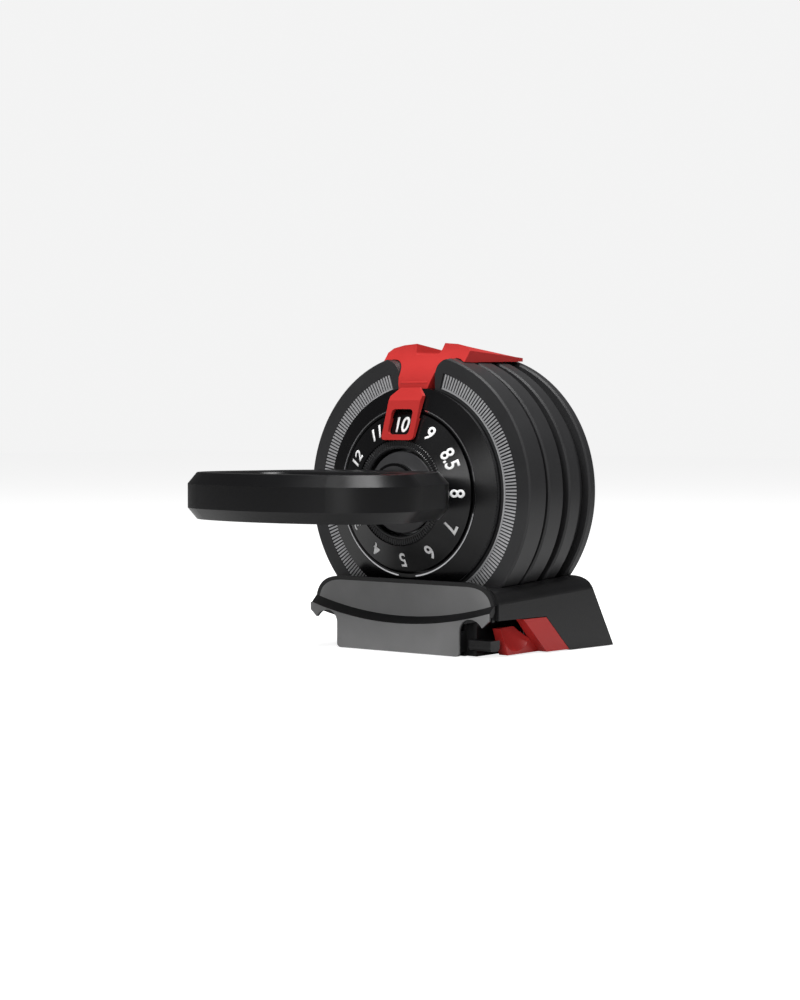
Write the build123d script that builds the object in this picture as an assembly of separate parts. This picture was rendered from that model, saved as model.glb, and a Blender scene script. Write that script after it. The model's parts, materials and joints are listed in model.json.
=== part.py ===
from build123d import *
import math
import os

# Adjustable kettlebell lying in its storage tray, in millimetres, +Z up.
# +X is the bell's right-hand side, +Y runs from the handle to the rear plate.
# While it is drawn, Y = 0 is the face of the front plate; everything is written
# about the middle of the footprint, on the surface that the tray stands on.

# ---- driving sizes ---------------------------------------------------------
plate_r = 100.0            # outer radius of all four weight plates
axis_h = 115.0             # height of the bell's axis above the floor
plate_gap = 0.5            # gap between neighbouring plates
edge_break = 1.2           # chamfer on the plates' rims

front_band = 20.6          # width of each plate's outer band
inner_band = 18.1
middle_band = 14.1
rear_band = 8.1
front_neck = 2.7           # width of the smaller shoulder behind each band
inner_neck = 7.1
middle_neck = 11.1
shoulder_step = 6.5        # how far a shoulder lies below its band

casing_wall = 2.6          # plastic around each plate's iron slug
slug_fit = 0.1             # play between slug and casing

slot_half = 16.4           # half width of the slot that the bell lifts out through
stem_fit = 0.7             # gap between the red stem and the slot's walls
lobe_r = 21.5              # reach of the selector lobes
lobe_width = 12.0
lobe_thick = 4.0
pocket_fit = 1.0           # room around the lobes in the plates

axle_r = 12.0              # fixed steel axle
sleeve_wall = 3.4          # turning selector sleeve around it
running_fit = 0.05         # radial play of the sleeve on the axle and in its bush

tick_r_in = 77.3           # band of radial marks on the front plate
tick_r_out = 88.4
tick_depth = 0.8
tick_gap_half = 21.8       # half width of the gap at the top, at the inner radius

bezel_r = 75.5             # fixed bezel around the dial
bezel_edge = 5.5           # height of its side above the plate's face
bezel_top = 11.0           # height of its inner rim
rim_r = 60.7               # bright wire on the inner rim
rim_wire = 0.9
rim_gap_half = 7.8         # half width of the wire's gap at the bottom
bezel_clear = 0.6          # between bezel and front plate
bezel_wall = 2.6

dial_r = 57.6              # turning number cone
dial_edge = 12.0           # height of the cone's outer edge
knurl_r = 38.6             # knurled ring at the cone's top
dial_top = 20.5            # height of the knurled ring
knurl_r_in = 31.5
dial_wall = 2.4
dial_steps = 12

hub_r = 29.4               # fixed disc inside the knurled ring
hub_top = 17.8
hub_thick = 3.0
neck_r = 19.0              # neck between hub and handle
flange_step = 2.0
flange_thick = 3.0
spigot_r = 6.0             # end of the axle inside the handle
spigot_len = 25.0

handle_gap = 26.5          # from the plate's face to the handle's back
handle_reach = 180.5       # from the plate's face to the handle's front
handle_thick = 32.0
handle_band_h = 16.6       # height of the flat outer band
handle_bevel = 6.3         # how far the covers' bevels draw in
front_corner_r = 50.0
front_corner_x = 41.0      # centre of the front corner arcs
front_corner_back = 57.0   # centre of those arcs behind the handle's front
back_corner_r = 60.0
back_corner_x = 19.4
grip_thick = 30.0          # front grip bar, front to back
arm_thick = 31.0           # side arms
opening_deep = 64.0        # finger opening, front to back
opening_corner_r = 17.0
grip_round = 8.0           # rounding of the opening's edges
cover_screw_r = 3.4

saddle_half = 37.5         # red saddle over the plates
saddle_top = 107.6         # its heights above the axis
saddle_side = 101.4
saddle_rear = 97.6
saddle_front = 17.0        # top of its front face behind the plate's face
saddle_rear_gap = 3.8      # its rear end before the rear plate's back
saddle_seat = 0.5          # gap above the plates
channel_half = 11.0        # channel along its top
channel_floor = 99.6
channel_draft = 1.8
channel_round = 2.5
waist_nose = 4.5           # the waist's foot before the plate's face
waist_low = 74.4
waist_taper = 2.6          # how much the waist narrows on each side
waist_fit = 0.3            # around the waist's foot in the bezel
ear_r = 12.0               # rounded ears beside the slot
ear_drop = 4.5             # how far the ears' crests lie below the plate's rim
rail_thick = 2.6           # saddle's side rails at their rear ends

slider_w = 29.0            # red window slider, riding over the cone
slider_low = 37.6
slider_bend = 66.0
slider_high = 75.2
slider_low_y = 23.6        # its face before the plate's face at those heights
slider_bend_y = 14.4
slider_high_y = 7.6
slider_clear = 0.5         # gap between the slider and the cone
slider_step = 53.0         # height above which it stands further off, over the bezel
slider_lift = 1.3
slider_corner = 6.0
window_w = 19.2
window_low = 41.5
window_high = 59.7
corner_r = 3.0
tongue_half = 5.5          # tongue that guides the slider through the bezel
tongue_low = 62.2
tongue_h = 2.8
tongue_back = 5.2
wing_half = 8.5
wing_thick = 0.9
bezel_slot_fit = 0.6
spring_r = 1.6
spring_wire = 0.5
spring_turns = 5

retainer_r = 30.0          # rear retaining disc
retainer_thick = 4.0
nut_r = 16.0
nut_thick = 9.0

tray_front_half = 83.0     # tray: half widths at its front and rear
tray_rear_half = 95.0
tray_rear = 115.0          # rear foot of its sloping back
tray_lean = 30.0           # how far the back leans in up to the tray's top
tray_front_h = 48.5        # tray's height at its front and rear
tray_rear_h = 56.0
tray_wall = 3.0
trough_clear = 1.6
trough_lip = 0.8           # front lip before the plate's face
bezel_room = 1.5
shoulder_r = 11.0
back_r = 12.0
panel_face = 16.5          # upper front panel's face before the plate's face
panel_h = 52.5
panel_rim = 3.0
panel_half = 81.3
panel_top_half = 58.0      # half width of the level part of its top edge
smile_r = 294.0            # curved lower edge of the panel
smile_low = 26.0
ledge_drop = 5.0           # dark ledge between panel and apron
apron_face = 23.5
inlay = 1.5                # thickness of the grey inlays
leg_half = 55.8
arch_h = 27.4
arch_r = 9.0
tip_x = 75.5
tip_low = 22.0
tip_side = 27.0
foot_r = 8.0
foot_proud = 0.6
foot_thick = 2.6
base_thick = 3.0
pad_thick = 1.3
pad_width = 12.0
screw_r = 1.7
screw_head_r = 3.2
bay_x = 64.0               # inner wall of the two side bays
bay_high = 26.7
bay_rear = 38.0            # top rear corner of the bay
bay_foot = 65.5            # bottom rear corner of the bay
toe_w = 16.0               # small stop at the front of the right bay
toe_rear = -8.0
toe_len = 11.0
toe_low = 5.0
toe_h = 12.5
front_boss_x = 50.0        # screw bosses and feet
front_boss_y = 20.0
front_boss_top = 28.0
rear_boss_x = 60.0
rear_boss_y = 92.5
rear_boss_top = 31.0
front_foot_x = 48.0
front_foot_y = 1.0
rear_foot_x = 76.0
rear_foot_y = 98.0
pad_from = 24.0            # pads between these angles from straight down
pad_to = 42.0
latch_gap = 0.6
latch_depth = 9.0
latch_bar = 25.0
grip_front = -6.8          # finger grip of the latch
grip_top = 20.5
grip_rake = 8.0
grip_sunk = 4.0
grip_deep = 6.0
hollow_y = 12.0            # centre of the hollow for a fingertip
hollow_z = 22.5
hollow_r = 34.7
hollow_out = 28.9          # centre of its sphere outside the grip
latch_spring_r = 4.0
latch_wire = 0.9
latch_turns = 5
latch_spring_y = 36.0
latch_spring_z = 14.0

# ---- sizes that follow -----------------------------------------------------
front_len = front_band + front_neck
inner_y = front_len + plate_gap
inner_len = inner_band + inner_neck
middle_y = inner_y + inner_len + plate_gap
middle_len = middle_band + middle_neck
rear_y = middle_y + middle_len + plate_gap
stack_end = rear_y + rear_band
sleeve_r = axle_r + running_fit + sleeve_wall
pocket_r = lobe_r + pocket_fit
y_middle = (tray_rear - handle_reach) / 2
trough_r = plate_r + trough_clear
cone_slope = (dial_top - dial_edge) / (dial_r - knurl_r)
cone_angle = math.degrees(math.atan(cone_slope))
rear_face = stack_end + bezel_clear

os.makedirs("parts", exist_ok=True)


def save(name, shape):
    """Write one node, moved to the middle of the footprint and up to the axis' height."""
    shape.label = name
    export_step(Pos(0, -y_middle, 0) * shape, "parts/" + name + ".step")


def group(shapes):
    """Several separate solids as one node."""
    return Part() + shapes


def on_axis(shape):
    """Lift a shape drawn about the bell's axis to its height over the floor."""
    return Pos(0, 0, axis_h) * shape


def disc(radius, y0, y1):
    """A cylinder along Y from y0 to y1."""
    return Pos(0, (y0 + y1) / 2, 0) * Rot(90, 0, 0) * Cylinder(radius, y1 - y0)


def ring(r_out, r_in, y0, y1):
    return disc(r_out, y0, y1) - disc(r_in, y0 - 1, y1 + 1)


def block(x0, x1, y0, y1, z0, z1):
    return Pos((x0 + x1) / 2, (y0 + y1) / 2, (z0 + z1) / 2) * Box(x1 - x0, y1 - y0, z1 - z0)


def turned(points):
    """Turn a profile of (radius, y) points about the Y axis."""
    face = make_face(Polyline(*points, close=True))
    return revolve(face, Axis.Y, 360)


def side_prism(points, x0, x1, radius=0):
    """Extrude an outline of (y, z) points along X."""
    outline = Plane.YZ * make_face(Polyline(*points, close=True))
    if radius:
        outline = fillet(outline.vertices().group_by(Axis.Z)[-1], radius)
    return Pos(x0, 0, 0) * extrude(outline, x1 - x0, dir=(1, 0, 0))


def front_prism(face, y0, y1):
    """Extrude a face drawn as (x, z) from y0 to y1."""
    return Pos(0, y0, 0) * extrude(Plane.XZ * face, y1 - y0, dir=(0, 1, 0))


# ---- weight plates ---------------------------------------------------------
def slot_cut(half, y0, y1):
    """The upright slot from the axis to the rim, round at its lower end."""
    return disc(half, y0, y1) + block(-half, half, y0, y1, 0, plate_r + 20)


def ear_cut(y0, y1):
    """Rounds the slot's mouth into two ears."""
    corner = block(slot_half - 1, slot_half + ear_r, y0, y1, plate_r - ear_r - 5, plate_r + 5)
    round_edge = Pos(slot_half + ear_r, (y0 + y1) / 2, plate_r - ear_r - 4.5) * Rot(90, 0, 0)
    corner -= round_edge * Cylinder(ear_r, y1 - y0 + 2)
    corner -= block(slot_half - 2, slot_half + ear_r + 1, y0 - 1, y1 + 1, 0, plate_r - ear_r - 4.5)
    return corner + mirror(corner, Plane.YZ)


def plate_body(y0, band, neck):
    """A plate's outer form: the wide band and the smaller shoulder behind it."""
    rim = disc(plate_r, y0, y0 + band)
    rim = chamfer(rim.edges().filter_by(GeomType.CIRCLE), edge_break)
    if neck:
        rim += disc(plate_r - shoulder_step, y0 + band, y0 + band + neck)
    return rim


def lobe_y(y0, length):
    return y0 + length / 2


def plate_pair(y0, band, neck):
    """The plastic casing and the iron slug sealed in it."""
    length = band + neck
    mid = lobe_y(y0, length)
    room = lobe_thick / 2 + pocket_fit
    casing = plate_body(y0, band, neck) - slot_cut(slot_half, y0 - 1, y0 + length + 1)
    casing -= disc(pocket_r, mid - room, mid + room)
    slug_r = plate_r - shoulder_step - casing_wall
    slug = disc(slug_r, y0 + casing_wall, y0 + length - casing_wall)
    slug -= slot_cut(slot_half + casing_wall, y0, y0 + length)
    slug -= disc(pocket_r + casing_wall, mid - room - casing_wall, mid + room + casing_wall)
    void = disc(slug_r + slug_fit, y0 + casing_wall - slug_fit, y0 + length - casing_wall + slug_fit)
    void -= slot_cut(slot_half + casing_wall - slug_fit, y0, y0 + length)
    reach = room + casing_wall - slug_fit
    void -= disc(pocket_r + casing_wall - slug_fit, mid - reach, mid + reach)
    return casing - void, slug


front_casing, front_slug = plate_pair(0, front_band, front_neck)
front_casing -= ear_cut(-1, front_band + front_neck + 1)
tick_fan = make_face(Polyline((0, 0), (-tick_gap_half, tick_r_in), (-tick_gap_half * 1.5, tick_r_in * 1.5),
                              (tick_gap_half * 1.5, tick_r_in * 1.5), (tick_gap_half, tick_r_in), close=True))
tick_fan = front_prism(tick_fan, -1, tick_depth + 1)
front_casing -= ring(tick_r_out + slug_fit, tick_r_in - slug_fit, 0, tick_depth) - tick_fan
tick_band = ring(tick_r_out, tick_r_in, 0, tick_depth) - tick_fan
save("front_plate_casing", on_axis(front_casing))
save("front_plate_iron", on_axis(front_slug))
save("tick_band", on_axis(tick_band))

for plate_name, y0, band, neck in (("inner_plate", inner_y, inner_band, inner_neck),
                                   ("middle_plate", middle_y, middle_band, middle_neck),
                                   ("rear_plate", rear_y, rear_band, 0)):
    casing, slug = plate_pair(y0, band, neck)
    save(plate_name + "_casing", on_axis(casing))
    save(plate_name + "_iron", on_axis(slug))


# ---- dial ------------------------------------------------------------------
def cone_y(radius):
    """Height of the number cone's surface, as a Y, at a radius."""
    return -(dial_edge + (dial_r - radius) * cone_slope)


web_y = -(bezel_clear + bezel_wall + 1.0)
number_dial = turned([
    (dial_r, -dial_edge), (knurl_r, cone_y(knurl_r)), (knurl_r, cone_y(knurl_r) + dial_wall),
    (dial_r - dial_wall, -dial_edge + dial_wall * 1.4), (dial_r - dial_wall, web_y - dial_wall),
    (knurl_r - dial_wall, web_y - dial_wall), (knurl_r - dial_wall, web_y), (dial_r, web_y)])
for k in range(dial_steps):
    notch = Pos(0, web_y - dial_wall, dial_r) * Box(4.0, 4.0, 5.0)
    number_dial -= Rot(0, 360 / dial_steps * k, 0) * notch
knurl_ring = turned([
    (knurl_r - 0.4, cone_y(knurl_r) + 0.4), (knurl_r - 0.8, -dial_top), (knurl_r_in + 1.2, -dial_top),
    (knurl_r_in, -dial_top + 1.2), (knurl_r_in, web_y - dial_wall), (knurl_r - 0.4, web_y - dial_wall)])
knurl_ring -= number_dial
save("number_dial", on_axis(number_dial))
save("knurl_ring", on_axis(knurl_ring))

sleeve_front = web_y - dial_wall
sleeve = ring(sleeve_r, axle_r + running_fit, sleeve_front, stack_end - 2.0)
sleeve += ring(knurl_r - dial_wall, sleeve_r - 1, sleeve_front, web_y)
save("selector_sleeve", on_axis(sleeve))

lobes = []
for y0, length in ((0, front_len), (inner_y, inner_len), (middle_y, middle_len), (rear_y, rear_band)):
    mid = lobe_y(y0, length)
    lobe = block(-lobe_width / 2, lobe_width / 2, mid - lobe_thick / 2, mid + lobe_thick / 2, 0, lobe_r + 5)
    lobe = lobe & disc(lobe_r, mid - lobe_thick, mid + lobe_thick)
    lobes.append(lobe - disc(sleeve_r, mid - lobe_thick, mid + lobe_thick))
save("selector_lobes", on_axis(group(lobes)))

# ---- bezel -----------------------------------------------------------------
bezel_back = -bezel_clear
rim_in = dial_r + 1.4
bezel = turned([
    (bezel_r, bezel_back), (bezel_r, -bezel_edge), (rim_r + rim_wire, -bezel_top), (rim_in, -bezel_top),
    (rim_in, -bezel_top + bezel_wall), (bezel_r - bezel_wall, -bezel_edge + bezel_wall * 0.6),
    (bezel_r - bezel_wall, bezel_back - bezel_wall), (sleeve_r + running_fit + 3, bezel_back - bezel_wall),
    (sleeve_r + running_fit + 3, bezel_back)])
wire_groove = turned([
    (rim_r - rim_wire / 2, -bezel_top - 1), (rim_r - rim_wire / 2, -bezel_top + 0.6),
    (rim_r + rim_wire / 2, -bezel_top + 0.6), (rim_r + rim_wire / 2, -bezel_top - 1)])
bezel -= wire_groove
slide_dir = (0, math.sin(math.radians(cone_angle)), math.cos(math.radians(cone_angle)))
slot_room = tongue_half + bezel_slot_fit
bezel -= block(-slot_room, slot_room, -bezel_top - 1, bezel_back - bezel_wall - 0.01,
               tongue_low - bezel_slot_fit, bezel_r - bezel_wall)
bezel -= block(-stem_fit - slot_half, stem_fit + slot_half, -bezel_top, 0, waist_low - waist_fit, plate_r)
save("bezel", on_axis(bezel))
bush = ring(sleeve_r + running_fit + 3, sleeve_r + running_fit, bezel_back - bezel_wall, bezel_back)
save("sleeve_bush", on_axis(bush))

wire = ring(rim_r + rim_wire / 2, rim_r - rim_wire / 2, -bezel_top - 0.3, -bezel_top + 0.6)
wire -= block(-rim_gap_half, rim_gap_half, -30, 0, -plate_r, 0)
wire -= block(-slider_w / 2 - 1, slider_w / 2 + 1, -30, 0, 0, plate_r)
save("rim_wire", on_axis(wire))

# ---- axle, hub and neck ----------------------------------------------------
neck_back = -hub_top + hub_thick
axle = disc(neck_r, -handle_gap, neck_back) + disc(axle_r, neck_back, rear_face + retainer_thick + nut_thick)
axle += disc(spigot_r, -handle_gap - spigot_len, -handle_gap)
save("axle", on_axis(axle))
hub_disc = ring(hub_r, neck_r, -hub_top, neck_back)
hub_disc = chamfer(hub_disc.edges().group_by(Axis.Y)[0].group_by(SortBy.RADIUS)[-1], 0.5)
save("hub_disc", on_axis(hub_disc))
neck_flange = ring(neck_r + flange_step, neck_r, -handle_gap, -handle_gap + flange_thick)
save("neck_flange", on_axis(neck_flange))


# ---- handle ----------------------------------------------------------------
def on_circle(cx, cy, radius, degrees):
    a = math.radians(degrees)
    return (cx + radius * math.cos(a), cy + radius * math.sin(a))


def loop_outline(inset):
    """Handle outline in plan: bowed front, round corners, straight tapered sides, flat back."""
    front = -handle_reach
    cy = front + front_corner_back
    bow_r = (front_corner_x ** 2 + front_corner_back ** 2 - front_corner_r ** 2) / (
        2 * (front_corner_back - front_corner_r))
    bow_cy = front + bow_r
    fr, br = front_corner_r - inset, back_corner_r - inset
    by = -handle_gap - back_corner_r
    bow_dir = math.degrees(math.atan2(cy - bow_cy, front_corner_x))
    dx, dy = back_corner_x - front_corner_x, by - cy
    length = math.hypot(dx, dy)
    side_dir = math.degrees(math.atan2(dy, dx)) - math.degrees(math.acos((fr - br) / length))
    p1 = on_circle(front_corner_x, cy, fr, bow_dir)
    p2 = on_circle(front_corner_x, cy, fr, side_dir)
    p3 = on_circle(back_corner_x, by, br, side_dir)
    p4 = on_circle(back_corner_x, by, br, 90)
    m12 = on_circle(front_corner_x, cy, fr, (bow_dir + side_dir) / 2)
    m34 = on_circle(back_corner_x, by, br, (side_dir + 90) / 2)
    flip = [(-x, y) for x, y in (p1, m12, p2, p3, m34, p4)]
    lines = [ThreePointArc(flip[0], (0, front + inset), p1), ThreePointArc(p1, m12, p2), Line(p2, p3),
             ThreePointArc(p3, m34, p4), Line(p4, flip[5]), ThreePointArc(flip[5], flip[4], flip[3]),
             Line(flip[3], flip[2]), ThreePointArc(flip[2], flip[1], flip[0])]
    return make_face(lines)


half_width = front_corner_x + front_corner_r
opening_half = half_width - arm_thick
opening_y = -handle_reach + grip_thick
opening = RectangleRounded(2 * opening_half, opening_deep, opening_corner_r)
opening = Pos(0, opening_y + opening_deep / 2) * opening
band_half = handle_band_h / 2
cover_h = handle_thick / 2 - band_half

handle_frame = Pos(0, 0, -band_half) * extrude(loop_outline(0) - opening, handle_band_h)
handle_frame -= disc(spigot_r, -handle_gap - spigot_len, -handle_gap + 1)
cover = loft([Pos(0, 0, band_half) * loop_outline(0), Pos(0, 0, handle_thick / 2) * loop_outline(handle_bevel)])
cover -= Pos(0, 0, band_half - 1) * extrude(opening, cover_h + 2)
mouth = cover.edges().group_by(Axis.Z)[-1]
mouth = [e for e in mouth if abs(e.center().X) <= opening_half + 0.01
         and opening_y - 0.01 <= e.center().Y <= opening_y + opening_deep + 0.01]
cover = fillet(mouth, cover_h * 0.8)
screw_x = (half_width - arm_thick / 2 - 3, half_width - arm_thick / 2 - 12, 12.0)
screw_y = (opening_y + 18, opening_y + opening_deep + 10, opening_y - grip_thick / 2)
screw_places = [(s * x, y) for x, y in zip(screw_x, screw_y) for s in (-1, 1)]
cover_low = mirror(cover, Plane.XY)
screws = []
for x, y in screw_places:
    well = Pos(x, y, -handle_thick / 2 + 1.0) * Cylinder(cover_screw_r + 0.4, 2.2)
    bore = Pos(x, y, -handle_thick / 2 + cover_h / 2) * Cylinder(1.9, cover_h + 1)
    hole = Pos(x, y, -band_half + 4) * Cylinder(1.7, 8.4)
    cover_low -= well + bore
    handle_frame -= hole
    screw = Pos(x, y, -handle_thick / 2 + 1.3) * Cylinder(cover_screw_r, 1.5)
    screw -= Pos(x, y, -handle_thick / 2 + 0.6) * extrude(RegularPolygon(1.6, 6), 0.9)
    screw += Pos(x, y, (-handle_thick / 2 + 2.0 - band_half + 7) / 2) * Cylinder(
        1.7, -band_half + 7 + handle_thick / 2 - 2.0)
    screws.append(screw)
save("handle_frame", on_axis(handle_frame))
save("handle_cover_top", on_axis(cover))
save("handle_cover_bottom", on_axis(cover_low))
save("handle_screws", on_axis(group(screws)))

# ---- red saddle and spine --------------------------------------------------
stem_half = slot_half - stem_fit
saddle_end = stack_end - saddle_rear_gap
spine_low = pocket_r + 1.5
spine_half = stem_half - 2.0
spine = block(-spine_half, spine_half, -bezel_clear, rear_face, spine_low, retainer_r - 2)
spine += block(-spine_half, spine_half, -bezel_clear, stack_end - 0.6, retainer_r - 2, waist_low)
spine -= block(-spine_half + 3, spine_half - 3, front_len, stack_end - 6, retainer_r + 3, waist_low - 6)
save("spine", on_axis(spine))

lean = [Spline((-waist_nose, waist_low), (-2.6, 80.5), (2.2, 88.0), (8.6, 95.0), (saddle_front, saddle_top)),
        Polyline((saddle_front, saddle_top), (front_len, saddle_top),
                 (front_len, waist_low), (-waist_nose, waist_low))]
lean_body = Pos(-saddle_half, 0, 0) * extrude(Plane.YZ * make_face(lean), 2 * saddle_half, dir=(1, 0, 0))
under = plate_r + saddle_seat
ear_x = slot_half + ear_r
ear_z = plate_r - ear_r - ear_drop
crown = [(channel_half + 2, saddle_top), (saddle_half - 13, saddle_top - 0.9),
         (saddle_half - 4, saddle_top - 3.0), (saddle_half, saddle_side)]
crown_rear = [(channel_half + 2, saddle_rear + 1), (saddle_half - 13, saddle_rear + 0.8),
              (saddle_half - 4, saddle_rear + 0.4), (saddle_half, saddle_rear)]


def crown_face(points, low):
    """Cross-section of the saddle between its crown and a lower level."""
    right = points + [(saddle_half, low)]
    left = [(-x, z) for x, z in reversed(right)]
    return make_face(Polyline(*left, *right, close=True))


front_face = crown_face(crown, waist_low)
ear = Pos(ear_x, ear_z) * Circle(ear_r + stem_fit)
ear += Pos(ear_x + saddle_half / 2, (waist_low + ear_z) / 2 - 1) * Rectangle(
    saddle_half + 2 * (ear_r + stem_fit), ear_z - waist_low + 2)
ear += Circle(under) & Pos(ear_x + saddle_half / 2, plate_r) * Rectangle(saddle_half, plate_r / 2)
ear += make_face(Polyline((stem_half, ear_z), (stem_half - waist_taper, waist_low), (stem_half - waist_taper,
                          waist_low - 1), (ear_x, waist_low - 1), (ear_x, ear_z), close=True))
front_face -= ear
front_face -= mirror(ear, Plane.YZ)
nose = lean_body & front_prism(front_face, -waist_nose, saddle_front)
hood = loft([Plane.XZ.offset(-saddle_front) * crown_face(crown, waist_low),
             Plane.XZ.offset(-saddle_end) * crown_face(crown_rear, waist_low)], ruled=True)
front_hood = hood & front_prism(front_face, saddle_front, front_len)
rear_hood = hood - disc(under, 0, saddle_end + 1)
rear_hood &= block(-saddle_half, saddle_half, front_len, saddle_end, 0, saddle_top)
saddle = nose + front_hood + rear_hood
saddle += block(-stem_half, stem_half, front_len, saddle_end, waist_low, channel_floor - 1)
rail_lift = side_prism([(front_len, under * 0.9), (front_len, under * 0.93),
                        (saddle_end, saddle_rear - rail_thick), (saddle_end, under * 0.9)],
                       saddle_half * 0.6, saddle_half + 1)
saddle -= rail_lift
saddle -= mirror(rail_lift, Plane.YZ)
mouth_half = channel_half + channel_draft
channel = make_face(Polyline((-channel_half, channel_floor), (channel_half, channel_floor),
                             (mouth_half, saddle_top), (mouth_half, plate_r * 1.2),
                             (-mouth_half, plate_r * 1.2), (-mouth_half, saddle_top), close=True))
channel = fillet(channel.vertices().group_by(Axis.Y)[0], channel_round)
saddle -= front_prism(channel, -1, saddle_end + 1)
save("saddle", on_axis(saddle))

# ---- window slider ---------------------------------------------------------
def over_cone(z, stand_off):
    """Y of a line parallel to the cone, at a height above the axis."""
    return cone_y(z) - stand_off


slider = side_prism([
    (-slider_low_y, slider_low), (-slider_bend_y, slider_bend), (-slider_high_y, slider_high),
    (over_cone(slider_high, slider_clear + slider_lift), slider_high),
    (over_cone(slider_step, slider_clear + slider_lift), slider_step),
    (over_cone(slider_step, slider_clear), slider_step), (over_cone(knurl_r, slider_clear), knurl_r),
    (over_cone(knurl_r, slider_clear), slider_low)], -slider_w / 2, slider_w / 2)
slider_outline = make_face(Polyline(
    (-slider_w / 2, slider_low), (slider_w / 2, slider_low), (slider_w / 2, slider_high - slider_corner),
    (slider_w / 2 - slider_corner, slider_high), (-slider_w / 2 + slider_corner, slider_high),
    (-slider_w / 2, slider_high - slider_corner), close=True))
slider_outline = fillet(slider_outline.vertices().group_by(Axis.Y)[0], corner_r)
slider &= front_prism(slider_outline, -plate_r / 2, 0)
window = Pos(0, (window_low + window_high) / 2) * RectangleRounded(window_w, window_high - window_low, corner_r)
slider -= front_prism(window, -plate_r / 2, 0)
save("window_slider", on_axis(slider))

tongue = side_prism([
    (over_cone(tongue_low, slider_clear + slider_lift), tongue_low), (-tongue_back, tongue_low),
    (-tongue_back, tongue_low + tongue_h),
    (over_cone(tongue_low + tongue_h, slider_clear + slider_lift), tongue_low + tongue_h)],
    -tongue_half, tongue_half)
tongue += block(-wing_half, wing_half, -tongue_back - wing_thick, -tongue_back, tongue_low, tongue_low + 2)
save("slider_tongue", on_axis(tongue))


def coil(radius, wire_d, turns, length):
    """A coil spring standing on Z = 0."""
    path = Helix(pitch=(length - wire_d) / turns, height=length - wire_d, radius=radius)
    section = Plane(path @ 0, z_dir=path % 0) * Circle(wire_d / 2)
    return Pos(0, 0, wire_d / 2) * sweep(section, path)


spring_low = tongue_low + tongue_h
spring_high = bezel_r - bezel_wall
spring_len = (spring_high - spring_low) / slide_dir[2] - 2 * spring_r
spring_y = over_cone(spring_low, 0) + spring_r + 0.4
spring = Pos(0, spring_y, spring_low + spring_r * slide_dir[1]) * Rot(-cone_angle, 0, 0) * coil(
    spring_r, spring_wire, spring_turns, spring_len)
save("slider_spring", on_axis(spring))

# ---- rear retainer and nut -------------------------------------------------
retainer = ring(retainer_r, axle_r, rear_face, rear_face + retainer_thick)
retainer = chamfer(retainer.edges().group_by(Axis.Y)[-1].group_by(SortBy.RADIUS)[-1], 1.0)
save("rear_retainer", on_axis(retainer))
nut = extrude(Plane.XZ * RegularPolygon(nut_r, 6), nut_thick, dir=(0, 1, 0))
nut = Pos(0, rear_face + retainer_thick, 0) * nut
nut -= disc(axle_r, rear_face, rear_face + 2 * nut_thick)
save("axle_nut", on_axis(nut))

# ---- tray ------------------------------------------------------------------
shell_front = -panel_face + tray_wall
half_slope = (tray_rear_half - tray_front_half) / (tray_rear - shell_front)


def tray_half(y):
    """Half width of the tray's side wall at a Y."""
    return tray_front_half + half_slope * (y - shell_front)


def tray_top(y):
    return tray_front_h + (tray_rear_h - tray_front_h) * (y - shell_front) / (tray_rear - shell_front)


def tray_section(y, inset):
    """Cross-section of the tray: upright sides and rounded shoulders, inset by a wall."""
    half, top = tray_half(y) - inset, tray_top(y) - inset
    face = make_face(Polyline((-half, 0), (-half, top), (half, top), (half, 0), close=True))
    face = fillet(face.vertices().group_by(Axis.Y)[-1], shoulder_r - inset)
    return Plane.XZ.offset(-y) * face


def tray_block(inset):
    """Tray body filled in: tapered in plan, with a leaning back."""
    rear, front = tray_rear - inset * 1.15, shell_front + inset
    lean_top = rear - tray_lean
    body = loft([tray_section(front, inset), tray_section(tray_rear, inset)])
    side = Plane.YZ * make_face(Polyline((front, foot_proud), (rear, foot_proud),
                                         (lean_top, tray_top(lean_top) - inset),
                                         (front, tray_top(front) - inset), close=True))
    side = fillet(side.vertices().group_by(Axis.Z)[-1].sort_by(Axis.Y)[-1], back_r)
    return body & Pos(-plate_r, 0, 0) * extrude(side, 2 * plate_r, dir=(1, 0, 0))


def bay(grow):
    """One side bay, open to the front, the side and below."""
    points = [(-plate_r, -1), (-plate_r, bay_high + grow), (bay_rear + grow, bay_high + grow),
              (bay_foot + grow + 1, -1)]
    return side_prism(points, bay_x - grow, plate_r + 5)


shell = tray_block(0)
cavity = tray_block(tray_wall) + Pos(0, 0, -tray_wall) * tray_block(tray_wall)
cavity -= on_axis(disc(trough_r + tray_wall, shell_front - 1, stack_end + trough_clear + tray_wall))
cavity -= bay(tray_wall) + mirror(bay(tray_wall), Plane.YZ)
shell -= cavity
shell -= on_axis(disc(trough_r, -trough_lip, stack_end + trough_clear))
shell -= on_axis(disc(bezel_r + bezel_room, shell_front - 1, 0))
shell -= bay(0) + mirror(bay(0), Plane.YZ)
toe = block(bay_x - tray_wall, bay_x + toe_w, toe_rear - toe_len, toe_rear, toe_low, toe_h)
toe = fillet(toe.edges().filter_by(Axis.X).group_by(Axis.Z)[0], corner_r)
shell += toe
screw_spots = [(s * x, y, top) for x, y, top in ((front_boss_x, front_boss_y, front_boss_top),
                                                  (rear_boss_x, rear_boss_y, rear_boss_top)) for s in (-1, 1)]
for x, y, top in screw_spots:
    boss_low = foot_proud + base_thick
    boss = Pos(x, y, (boss_low + top) / 2) * Cylinder(screw_r * 2.4, top - boss_low)
    boss -= Pos(x, y, boss_low + 5) * Cylinder(screw_r, 12)
    shell += boss - on_axis(disc(trough_r + 1, -trough_lip, stack_end + trough_clear))
save("tray_shell", shell)

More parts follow.
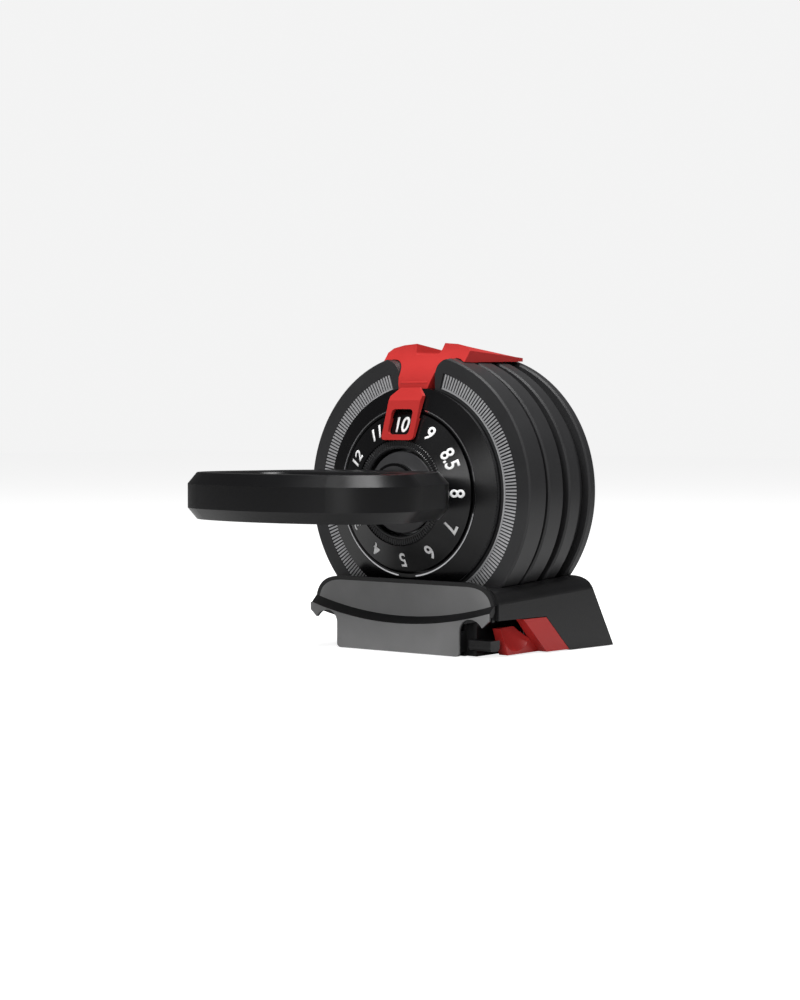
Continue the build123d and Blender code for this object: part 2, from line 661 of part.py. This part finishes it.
# base plate, feet and screws
base = block(-bay_x + tray_wall, bay_x - tray_wall, shell_front + tray_wall, bay_foot + tray_wall + 2,
             foot_proud, foot_proud + base_thick)
plan = make_face(Polyline((-tray_half(bay_foot) + tray_wall, bay_foot + tray_wall + 2),
                          (tray_half(bay_foot) - tray_wall, bay_foot + tray_wall + 2),
                          (tray_half(tray_rear) - 2 * tray_wall, tray_rear - 2 * tray_wall),
                          (-tray_half(tray_rear) + 2 * tray_wall, tray_rear - 2 * tray_wall), close=True))
base += Pos(0, 0, foot_proud) * extrude(plan, base_thick)
feet = []
for x, y in ((front_foot_x, front_foot_y), (-front_foot_x, front_foot_y),
             (rear_foot_x, rear_foot_y), (-rear_foot_x, rear_foot_y)):
    foot = Pos(x, y, foot_thick / 2) * Cylinder(foot_r, foot_thick)
    base -= foot
    feet.append(foot)
screws = []
for x, y, top in screw_spots:
    screw = Pos(x, y, foot_proud + 0.9) * Cylinder(screw_head_r, 1.2)
    screw -= Pos(x, y, foot_proud) * extrude(RegularPolygon(1.4, 6), 0.9)
    screw += Pos(x, y, foot_proud + 1.5 + 4.5) * Cylinder(screw_r, 9)
    base -= Pos(x, y, foot_proud) * Cylinder(screw_head_r + 0.3, 3.0)
    base -= Pos(x, y, foot_proud + base_thick / 2) * Cylinder(screw_r + 0.2, base_thick + 1)
    screws.append(screw)
save("tray_base_plate", base)
save("tray_feet", group(feet))
save("tray_screws", group(screws))

# strips that the plates rest on
pads = []
for y in (front_band / 2, inner_y + inner_band / 2, middle_y + middle_band / 2):
    strip = ring(trough_r, trough_r - pad_thick, y - pad_width / 2, y + pad_width / 2)
    for side in (-1, 1):
        fan = make_face(Polyline((0, 0), on_circle(0, 0, 2 * plate_r, -90 + side * pad_from),
                                 on_circle(0, 0, 2 * plate_r, -90 + side * pad_to), close=True))
        pads.append(strip & front_prism(fan, y - pad_width, y + pad_width))
save("cradle_pads", on_axis(group(pads)))

# ---- tray front ------------------------------------------------------------
def arc_z(radius, low, x):
    """Height at X of an arc whose lowest point is at X = 0."""
    return low + radius - math.sqrt(radius ** 2 - x ** 2)


apron_low = smile_low - ledge_drop
apron_r = smile_r + ledge_drop


def panel_outline(inset):
    """Upper panel: level top, rounded upper corners, curved lower edge."""
    half, top = panel_half - inset, panel_h - inset
    low = arc_z(smile_r, smile_low, half)
    near = panel_top_half
    corner = (near + (half - near) * 0.72, top - (top - low) * 0.3)
    right = [Spline((near, top), corner, (half, low), tangents=((1, -0.06), (0.2, -1)))]
    left = [Spline((-near, top), (-corner[0], corner[1]), (-half, low), tangents=((-1, -0.06), (-0.2, -1)))]
    lower = ThreePointArc((-half, low), (0, smile_low), (half, low))
    return make_face([Line((-near, top), (near, top))] + right + left + [lower])


def apron_outline():
    """Lower front: two arches and a broad foot under a curved upper edge."""
    top = arc_z(apron_r, apron_low, panel_half)
    spring_z = arch_h - arch_r
    mid = math.sqrt(0.5) * arch_r
    knee = (leg_half + arch_r - mid, spring_z + mid)
    crest = (leg_half + arch_r, arch_h)
    tip = (tip_x, tip_low)
    curve = ThreePointArc(crest, ((crest[0] + tip_x) / 2 + 1.2, (arch_h + tip_low) / 2 + 1.2), tip)
    lines = [Line((0, foot_proud), (leg_half, foot_proud)), Line((leg_half, foot_proud), (leg_half, spring_z)),
             ThreePointArc((leg_half, spring_z), knee, crest), curve,
             Line(tip, (panel_half, tip_side)), Line((panel_half, tip_side), (panel_half, top))]
    right = make_face(lines + [ThreePointArc((panel_half, top), (panel_half / 2, arc_z(apron_r, apron_low,
                               panel_half / 2)), (0, apron_low)), Line((0, apron_low), (0, foot_proud))])
    right = fillet(right.vertices().filter_by(lambda v: v.X > 1).group_by(Axis.Y)[0], corner_r)
    return right + mirror(right, Plane.YZ)


panel_back = -panel_face + tray_wall
ledge_back = -apron_face + inlay
centre_z = smile_low + smile_r
wall_face = panel_outline(0) + Pos(0, (foot_proud + apron_low) / 2 + 2) * Rectangle(
    2 * leg_half, apron_low - foot_proud + 4)
wall_face += Pos(0, (arch_h + smile_low) / 2 + 3) * Rectangle(2 * (tip_x + 4), 8)
front_frame = front_prism(wall_face, -panel_face, panel_back)
front_frame -= front_prism(panel_outline(panel_rim), -panel_face - 1, -panel_face + inlay)
step = turned([(smile_r, -panel_face), (apron_r, ledge_back),
               (apron_r + tray_wall, ledge_back), (apron_r + tray_wall, ledge_back + tray_wall),
               (smile_r + tray_wall * 1.6, -panel_face + 1), (smile_r, -panel_face + 1)])
step = Pos(0, 0, centre_z) * step
front_frame += step & block(-panel_half, panel_half, -apron_face - 5, -panel_face + 1, foot_proud, panel_h)
apron_face_2d = apron_outline()
front_frame += front_prism(apron_face_2d, ledge_back, ledge_back + inlay)
cheek = block(leg_half - tray_wall, leg_half, ledge_back + inlay, -panel_face,
              foot_proud + corner_r, arch_h - arch_r)
front_frame += cheek + mirror(cheek, Plane.YZ)
save("tray_front_frame", front_frame)
save("tray_front_panel", front_prism(panel_outline(panel_rim), -panel_face, -panel_face + inlay))
save("tray_apron", front_prism(apron_face_2d, -apron_face, ledge_back))

# ---- latches ---------------------------------------------------------------
latch_x = tray_half(bay_rear) - latch_depth
top, low = bay_high - latch_gap, foot_proud + latch_gap
bay_slope = (bay_foot - bay_rear) / bay_high
rear_top = bay_rear + bay_slope * (bay_high - top) - latch_gap
rear_low = bay_rear + bay_slope * (bay_high - low) - latch_gap
latch = side_prism([(rear_top - latch_bar, top), (rear_top, top), (rear_low, low), (rear_low - latch_bar, low)],
                   latch_x, plate_r)
grip_face = tray_half(0) - grip_sunk
grip = side_prism([(grip_front, grip_top), (rear_top - latch_bar + 3, grip_top),
                   (rear_low - latch_bar + 2, low), (grip_front + grip_rake, low)],
                  latch_x - grip_deep, grip_face)
latch += grip - Pos(grip_face + hollow_out, hollow_y, hollow_z) * Sphere(hollow_r)
latch &= tray_block(0)
save("latch", latch)
latch_coil = coil(latch_spring_r, latch_wire, latch_turns, latch_x - bay_x)
latch_coil = Pos(bay_x, latch_spring_y, latch_spring_z) * Rot(0, 90, 0) * latch_coil
save("latch_spring", latch_coil)
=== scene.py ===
import bpy
import bmesh
import json
import math
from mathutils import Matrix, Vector


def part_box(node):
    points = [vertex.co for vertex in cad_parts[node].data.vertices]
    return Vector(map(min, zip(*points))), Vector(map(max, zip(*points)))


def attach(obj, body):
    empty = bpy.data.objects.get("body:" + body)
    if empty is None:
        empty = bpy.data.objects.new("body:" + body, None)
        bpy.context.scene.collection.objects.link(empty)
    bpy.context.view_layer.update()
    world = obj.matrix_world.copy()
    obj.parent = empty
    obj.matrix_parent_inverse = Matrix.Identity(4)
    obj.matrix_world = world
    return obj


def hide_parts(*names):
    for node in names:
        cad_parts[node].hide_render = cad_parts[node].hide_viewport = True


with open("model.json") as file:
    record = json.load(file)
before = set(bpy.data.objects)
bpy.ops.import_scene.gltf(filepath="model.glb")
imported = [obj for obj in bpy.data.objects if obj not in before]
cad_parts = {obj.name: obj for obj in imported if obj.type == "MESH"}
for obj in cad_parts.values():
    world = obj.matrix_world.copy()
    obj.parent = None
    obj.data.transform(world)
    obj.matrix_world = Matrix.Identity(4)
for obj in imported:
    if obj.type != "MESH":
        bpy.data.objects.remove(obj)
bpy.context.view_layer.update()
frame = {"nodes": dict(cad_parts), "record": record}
nodes = frame["nodes"]

# ---- sizes shared with the CAD, in metres ----------------------------------
MM = 0.001
dial_low, dial_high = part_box("number_dial")
FACE_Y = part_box("tick_band")[0].y           # face of the front plate
AXIS_H = (dial_low.z + dial_high.z) / 2     # axis of the dial above the floor
DIAL_R = dial_high.x                        # the cone that carries the numbers: outer radius,
KNURL_R = 38.6 * MM                         # inner radius,
DIAL_EDGE = 12.0 * MM                       # how far it stands off the face at the outer radius
DIAL_TOP = FACE_Y - dial_low.y              # and at the inner radius
SLOPE = (DIAL_TOP - DIAL_EDGE) / (DIAL_R - KNURL_R)


def at(r, angle, y):
    """A point at a radius and clockwise angle from the top, y behind the plate's face."""
    return Vector((r * math.sin(angle), FACE_Y + y, AXIS_H + r * math.cos(angle)))


# ---- materials -------------------------------------------------------------
MOTTLE_SCALE = 45.0
MOTTLE_DETAIL = 5.0
MOTTLE_RANGE = (0.3, 0.7)       # the noise values that give the darkest and lightest colour
GRAIN_SCALE = 900.0
GRAIN_DETAIL = 2.0
GRAIN_DEPTH = 0.2 * MM


def material(name, color, rough, metallic=0.0, grain=0.0, grain_scale=GRAIN_SCALE, mottle=0.06,
             rough_var=0.05, specular=0.5):
    """Base colour with a faint mottle, uneven roughness and a fine moulded or cast grain."""
    m = bpy.data.materials.new(name)
    m.use_nodes = True
    nt = m.node_tree
    bsdf = nt.nodes["Principled BSDF"]
    bsdf.inputs["Metallic"].default_value = metallic
    bsdf.inputs["Specular IOR Level"].default_value = specular
    coord = nt.nodes.new("ShaderNodeTexCoord")
    broad = nt.nodes.new("ShaderNodeTexNoise")
    broad.inputs["Scale"].default_value = MOTTLE_SCALE
    broad.inputs["Detail"].default_value = MOTTLE_DETAIL
    nt.links.new(coord.outputs["Object"], broad.inputs["Vector"])
    tint = nt.nodes.new("ShaderNodeValToRGB")
    dark, light = tint.color_ramp.elements
    dark.position, light.position = MOTTLE_RANGE
    dark.color = [c * (1 - mottle) for c in color] + [1.0]
    light.color = [min(1.0, c * (1 + mottle)) for c in color] + [1.0]
    nt.links.new(broad.outputs["Fac"], tint.inputs["Fac"])
    nt.links.new(tint.outputs["Color"], bsdf.inputs["Base Color"])
    spread = nt.nodes.new("ShaderNodeMapRange")
    spread.inputs["To Min"].default_value = rough - rough_var
    spread.inputs["To Max"].default_value = rough + rough_var
    nt.links.new(broad.outputs["Fac"], spread.inputs["Value"])
    nt.links.new(spread.outputs["Result"], bsdf.inputs["Roughness"])
    if grain:
        fine = nt.nodes.new("ShaderNodeTexNoise")
        fine.inputs["Scale"].default_value = grain_scale
        fine.inputs["Detail"].default_value = GRAIN_DETAIL
        nt.links.new(coord.outputs["Object"], fine.inputs["Vector"])
        bump = nt.nodes.new("ShaderNodeBump")
        bump.inputs["Strength"].default_value = grain
        bump.inputs["Distance"].default_value = GRAIN_DEPTH
        nt.links.new(fine.outputs["Fac"], bump.inputs["Height"])
        nt.links.new(bump.outputs["Normal"], bsdf.inputs["Normal"])
    return m


FINISHES = {
    "plate_plastic": dict(color=(0.022, 0.022, 0.023), rough=0.4, grain=0.14, specular=0.35),
    "iron": dict(color=(0.16, 0.16, 0.165), rough=0.6, metallic=0.8, grain=0.8, grain_scale=400.0),
    "tick_metal": dict(color=(0.42, 0.42, 0.43), rough=0.36, metallic=0.3, grain=0.1),
    "dial_plastic": dict(color=(0.003, 0.003, 0.0034), rough=0.22, grain=0.04, rough_var=0.03,
                         specular=0.35),
    "knurl_plastic": dict(color=(0.022, 0.022, 0.023), rough=0.26, grain=0.1),
    "hub_plastic": dict(color=(0.05, 0.05, 0.052), rough=0.45, grain=0.3),
    "bright_trim": dict(color=(0.72, 0.72, 0.74), rough=0.16, metallic=1.0),
    "steel": dict(color=(0.42, 0.42, 0.43), rough=0.3, metallic=1.0, grain=0.15),
    "bush_metal": dict(color=(0.62, 0.47, 0.22), rough=0.3, metallic=1.0, grain=0.1),
    "handle_plastic": dict(color=(0.003, 0.003, 0.0034), rough=0.3, grain=0.2, rough_var=0.03,
                           specular=0.3),
    "screw_steel": dict(color=(0.09, 0.09, 0.095), rough=0.35, metallic=0.9, grain=0.1),
    "red_plastic": dict(color=(0.40, 0.019, 0.017), rough=0.38, grain=0.2, mottle=0.04),
    "spine_plastic": dict(color=(0.02, 0.02, 0.021), rough=0.5, grain=0.3),
    "spring_steel": dict(color=(0.16, 0.16, 0.165), rough=0.35, metallic=1.0),
    "tray_plastic": dict(color=(0.009, 0.009, 0.0095), rough=0.3, grain=0.3, specular=0.4),
    "tray_inlay": dict(color=(0.19, 0.19, 0.191), rough=0.5, grain=0.3),
    "rubber": dict(color=(0.02, 0.02, 0.02), rough=0.75, grain=0.5),
    "print_white": dict(color=(0.86, 0.86, 0.86), rough=0.45, grain=0.05, mottle=0.01),
}
MATS = {name: material(name, **finish) for name, finish in FINISHES.items()}

for entry in frame["record"]["subparts"]:
    o = nodes[entry["node"]]
    o.data.materials.clear()
    o.data.materials.append(MATS[entry["material_slot"]])


def add_mesh(name, verts, faces, slot_name, body):
    """A piece made from points and faces, with its slot's finish, that rides a body."""
    mesh = bpy.data.meshes.new(name)
    mesh.from_pydata([tuple(v) for v in verts], [], faces)
    mesh.validate()
    mesh.materials.append(MATS[slot_name])
    o = bpy.data.objects.new(name, mesh)
    bpy.context.scene.collection.objects.link(o)
    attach(o, body)
    return o


# ---- scale ticks on the front plate ----------------------------------------
TICK_IN = 77.4 * MM             # inner and outer radius of the thin ring that joins the ticks
TICK_RING = 78.6 * MM
TICK_ROOT = 0.2 * MM            # how far a tick runs into that ring
TICK_OUT = 88.4 * MM            # radius of the ticks' outer ends
TICK_FLOOR = 0.78 * MM          # back and front of the ticks, behind the plate's face
TICK_FACE = 0.12 * MM
TICKS_PER_TURN = 218
TICK_GAP = math.radians(16.7)   # half of the gap at the top
TICK_WIDTH = 0.25               # half of a tick's width, as a share of the pitch
TICK_END = 0.27                 # the ring's end beyond the last tick's middle, in the same way


def sector(verts, faces, r0, r1, a0, a1, steps=1):
    """Adds a flat curved bar between two radii and two angles."""
    base = len(verts)
    for k in range(steps + 1):
        a = a0 + (a1 - a0) * k / steps
        verts.append(at(r0, a, TICK_FLOOR))
        verts.append(at(r1, a, TICK_FLOOR))
        verts.append(at(r1, a, TICK_FACE))
        verts.append(at(r0, a, TICK_FACE))
    for k in range(steps):
        q = base + 4 * k
        for c in range(4):
            faces.append((q + c, q + (c + 1) % 4, q + 4 + (c + 1) % 4, q + 4 + c))
    faces.append((base, base + 3, base + 2, base + 1))
    q = base + 4 * steps
    faces.append((q, q + 1, q + 2, q + 3))


def scale_ticks():
    """Raised ticks at an even pitch on a thin ring, which is open at the top."""
    verts = []
    faces = []
    pitch = 2 * math.pi / TICKS_PER_TURN
    count = int((2 * math.pi - 2 * TICK_GAP) / pitch)
    start = math.pi - pitch * count / 2
    for k in range(count + 1):
        a = start + pitch * k
        half = pitch * TICK_WIDTH
        sector(verts, faces, TICK_RING - TICK_ROOT, TICK_OUT, a - half, a + half)
    ring_start = start - pitch * TICK_END
    ring_end = start + pitch * (count + TICK_END)
    sector(verts, faces, TICK_IN, TICK_RING, ring_start, ring_end, count)
    ticks = add_mesh("scale_ticks", verts, faces, "tick_metal", "front_plate")
    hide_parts("tick_band")


scale_ticks()

# ---- ribbed ring round the dial's top --------------------------------------
RIBS = 112
RIB_WAVE = (0.0, 0.0, 1.0, 1.0, 1.0, 0.0)       # one groove and one rib
# The ring's section through a rib and through a groove: radius and place behind the
# plate's face, in mm.
ON_RIB = [(31.5, -6.6), (31.5, -19.5), (32.3, -20.3), (33.4, -20.3), (34.0, -20.5), (37.4, -20.5),
          (38.15, -20.1), (38.2, -19.2), (38.2, -6.6)]
IN_GROOVE = [(31.5, -6.6), (31.5, -19.5), (32.3, -20.3), (33.4, -20.3), (34.0, -19.9), (37.0, -19.9),
             (37.6, -19.4), (37.7, -18.8), (37.7, -6.6)]


def ribbed_ring():
    """The knurled ring with real ribs, which run on over its front edge."""
    verts = []
    faces = []
    columns = RIBS * len(RIB_WAVE)
    rows = len(ON_RIB)
    for k in range(columns):
        a = 2 * math.pi * k / columns
        w = RIB_WAVE[k % len(RIB_WAVE)]
        for (rib_r, rib_y), (groove_r, groove_y) in zip(ON_RIB, IN_GROOVE):
            r = groove_r + (rib_r - groove_r) * w
            y = groove_y + (rib_y - groove_y) * w
            verts.append(at(r * MM, a, y * MM))
    for k in range(columns):
        here = k * rows
        after = (k + 1) % columns * rows
        for j in range(rows):
            up = (j + 1) % rows
            faces.append((here + j, here + up, after + up, after + j))
    ring = add_mesh("ribbed_dial_ring", verts, faces, "knurl_plastic", "dial")
    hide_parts("knurl_ring")


ribbed_ring()

# ---- numbers on the dial ---------------------------------------------------
TEXT_R = 48.7 * MM              # radius at the middle of the numbers
TEXT_H = 11.0 * MM
LABELS = (("10", 0), ("9", 30), ("8.5", 60), ("8", 90), ("7", 120), ("6", 150), ("5", 180), ("4", 210),
          ("3", 240), ("12", 300), ("11", 330))
WINDOW_GROWTH = 1.1             # the number at the top, under the window, is larger
STROKE_GROWTH = 0.018           # bolder than the font, as a share of its size
LETTER_SPACE = 0.98
SQUEEZE = 0.86                  # narrower than the font
CURVE_STEPS = 6
EDGE_CUTS = 2                   # extra points, so that a number follows the cone
PRINT_LIFT = 0.12 * MM
PRINT_THICK = 0.08 * MM
CONE_COS = 1 / math.sqrt(1 + SLOPE ** 2)


def text_mesh(label):
    """The flat mesh of a label in Blender's own font."""
    curve = bpy.data.curves.new("n_" + label, "FONT")
    curve.body = label
    curve.size = 1.0
    curve.align_x = "CENTER"
    curve.offset = STROKE_GROWTH
    curve.space_character = LETTER_SPACE
    curve.resolution_u = CURVE_STEPS
    o = bpy.data.objects.new("n_" + label, curve)
    bpy.context.scene.collection.objects.link(o)
    depsgraph = bpy.context.evaluated_depsgraph_get()
    mesh = bpy.data.meshes.new_from_object(o.evaluated_get(depsgraph))
    bpy.data.objects.remove(o)
    return mesh


def number(label, degrees, height):
    """A label printed on the dial's cone, with its foot towards the axis."""
    mesh = text_mesh(label)
    bm = bmesh.new()
    bm.from_mesh(mesh)
    bmesh.ops.triangulate(bm, faces=bm.faces)
    bmesh.ops.subdivide_edges(bm, edges=bm.edges, cuts=EDGE_CUTS, use_grid_fill=True)
    low = min(v.co.y for v in bm.verts)
    high = max(v.co.y for v in bm.verts)
    left = min(v.co.x for v in bm.verts)
    right = max(v.co.x for v in bm.verts)
    scale = height / (high - low)
    middle = math.radians(degrees)
    for v in bm.verts:
        across = (v.co.x - (left + right) / 2) * scale * SQUEEZE
        up = (v.co.y - (low + high) / 2) * scale
        r = TEXT_R + up * CONE_COS
        y = -(DIAL_EDGE + (DIAL_R - r) * SLOPE) - PRINT_LIFT
        v.co = at(r, middle + across / TEXT_R, y)
    bmesh.ops.recalc_face_normals(bm, faces=bm.faces)
    mesh.clear_geometry()
    bm.to_mesh(mesh)
    bm.free()
    mesh.materials.clear()
    mesh.materials.append(MATS["print_white"])
    o = bpy.data.objects.new("number_" + label.replace(".", "_"), mesh)
    bpy.context.scene.collection.objects.link(o)
    thick = o.modifiers.new("thick", "SOLIDIFY")
    thick.thickness = PRINT_THICK
    thick.offset = 0
    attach(o, "dial")


for label, degrees in LABELS:
    growth = WINDOW_GROWTH if degrees == 0 else 1.0
    number(label, degrees, TEXT_H * growth)

# ---- ridge on the red waist ------------------------------------------------
RIDGE_HALF = 12.0 * MM          # half of its width
RIDGE_UP = 4.2 * MM             # its middle, above the waist's foot
RIDGE_TALL = 1.15 * MM          # half of its height
RIDGE_PROUD = 0.75 * MM         # how far it swells out
RIDGE_SUNK = 0.25 * MM          # and how far its back lies in the waist
RIDGE_STEPS = 8
WAIST_LEAN = 0.31               # how far the waist leans back for its height
WAIST_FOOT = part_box("saddle")[0]


def waist_ridge():
    """A low rounded bar across the waist, just above the window slider."""
    verts = []
    faces = []
    last = RIDGE_STEPS
    side_points = RIDGE_STEPS + 1
    for side in (-1, 1):
        for k in range(side_points):
            t = math.pi * k / RIDGE_STEPS
            up = RIDGE_UP + RIDGE_TALL * math.cos(t)
            y = WAIST_FOOT.y + up * WAIST_LEAN - RIDGE_PROUD * math.sin(t) + RIDGE_SUNK
            verts.append(Vector((side * RIDGE_HALF, y, WAIST_FOOT.z + up)))
    for k in range(RIDGE_STEPS):
        faces.append((k, k + 1, side_points + k + 1, side_points + k))
    faces.append(tuple(range(last, -1, -1)))
    faces.append(tuple(range(side_points, 2 * side_points)))
    faces.append((0, side_points, side_points + last, last))
    add_mesh("waist_ridge", verts, faces, "red_plastic", "core")


waist_ridge()

# ---- rounded edges on the CAD pieces, which catch the light ----------------
EDGE_WIDTHS = {                 # in mm
    "saddle": 0.7,
    "window_slider": 0.6,
    "tray_front_panel": 0.4,
    "tray_apron": 0.3,
    "tray_front_frame": 0.4,
    "tray_shell": 0.5,
    "latch": 0.6,
    "handle_frame": 0.25,
    "handle_cover_top": 0.25,
    "handle_cover_bottom": 0.25,
    "bezel": 0.3,
    "axle_nut": 0.4,
    "tray_feet": 0.4,
}
EDGE_STEPS = 3
EDGE_ANGLE = math.radians(35)   # only edges that turn more than this are rounded

for node, width in EDGE_WIDTHS.items():
    bevel = nodes[node].modifiers.new("edge", "BEVEL")
    bevel.width = width * MM
    bevel.segments = EDGE_STEPS
    bevel.limit_method = "ANGLE"
    bevel.angle_limit = EDGE_ANGLE
    bevel.harden_normals = False

# ---- floor, surroundings, lamps and camera ---------------------------------
FLOOR_HALF = 7.0
FLOOR_GLOW = 0.84               # only as the camera sees it
SKY_SEEN = 0.9                  # surroundings as the camera sees them
SKY_LIGHT = 0.09                # and as a light on the object
LAMPS_AIM = Vector((0.0, 0.0, 0.12))
LAMPS = {                       # place, width, depth and power
    "key": ((0.1, -1.5, 2.1), 0.8, 0.6, 40),
    "top": ((0.25, 0.25, 2.1), 1.3, 1.0, 46),
    "side": ((2.2, 0.3, 1.6), 0.6, 0.6, 12),
    "fill": ((0.75, -1.75, 0.7), 1.0, 0.8, 14),
}
CAMERA = Vector((0.9791, -1.2240, 0.1684))
CAMERA_AIM = Vector((-0.0183, 0.0363, 0.1084))
SENSOR_WIDTH = 36.0             # in mm
LENS = 99.05


def seen_white(nt, strength, dim, bright):
    """Emission that is bright where the camera looks at it and dim as a light on the object."""
    path = nt.nodes.new("ShaderNodeLightPath")
    level = nt.nodes.new("ShaderNodeMapRange")
    level.inputs["To Min"].default_value = dim
    level.inputs["To Max"].default_value = bright
    nt.links.new(path.outputs["Is Camera Ray"], level.inputs["Value"])
    nt.links.new(level.outputs["Result"], strength)


def white_floor():
    """A large floor that looks white and still takes the object's shadow."""
    mat = material("floor", (0.5, 0.5, 0.5), 0.8, mottle=0.004, rough_var=0.02, specular=0.1)
    bsdf = mat.node_tree.nodes["Principled BSDF"]
    bsdf.inputs["Emission Color"].default_value = (1, 1, 1, 1)
    seen_white(mat.node_tree, bsdf.inputs["Emission Strength"], 0.0, FLOOR_GLOW)
    corners = [(x * FLOOR_HALF, y * FLOOR_HALF, 0) for x, y in ((-1, -1), (1, -1), (1, 1), (-1, 1))]
    mesh = bpy.data.meshes.new("floor")
    mesh.from_pydata(corners, [], [(0, 1, 2, 3)])
    mesh.materials.append(mat)
    floor = bpy.data.objects.new("floor", mesh)
    bpy.context.scene.collection.objects.link(floor)


def white_world():
    """White surroundings that light the object only faintly."""
    world = bpy.data.worlds.new("studio")
    bpy.context.scene.world = world
    world.use_nodes = True
    sky = world.node_tree.nodes["Background"]
    sky.inputs["Color"].default_value = (1, 1, 1, 1)
    seen_white(world.node_tree, sky.inputs["Strength"], SKY_LIGHT, SKY_SEEN)


def place(obj, where, aim):
    """Puts a lamp or the camera in the scene and points it."""
    bpy.context.scene.collection.objects.link(obj)
    obj.location = where
    obj.rotation_euler = (aim - Vector(where)).to_track_quat("-Z", "Y").to_euler()


def lamp(name, where, width, depth, power):
    data = bpy.data.lights.new(name, "AREA")
    data.shape = "RECTANGLE"
    data.size = width
    data.size_y = depth
    data.energy = power
    o = bpy.data.objects.new(name, data)
    place(o, where, LAMPS_AIM)


white_floor()
white_world()
bpy.context.scene.view_settings.view_transform = "Standard"

for name, values in LAMPS.items():
    lamp(name, *values)

camera_data = bpy.data.cameras.new("camera")
camera_data.sensor_fit = "HORIZONTAL"
camera_data.sensor_width = SENSOR_WIDTH
camera_data.lens = LENS
camera = bpy.data.objects.new("camera", camera_data)
place(camera, CAMERA, CAMERA_AIM)
bpy.context.scene.camera = camera
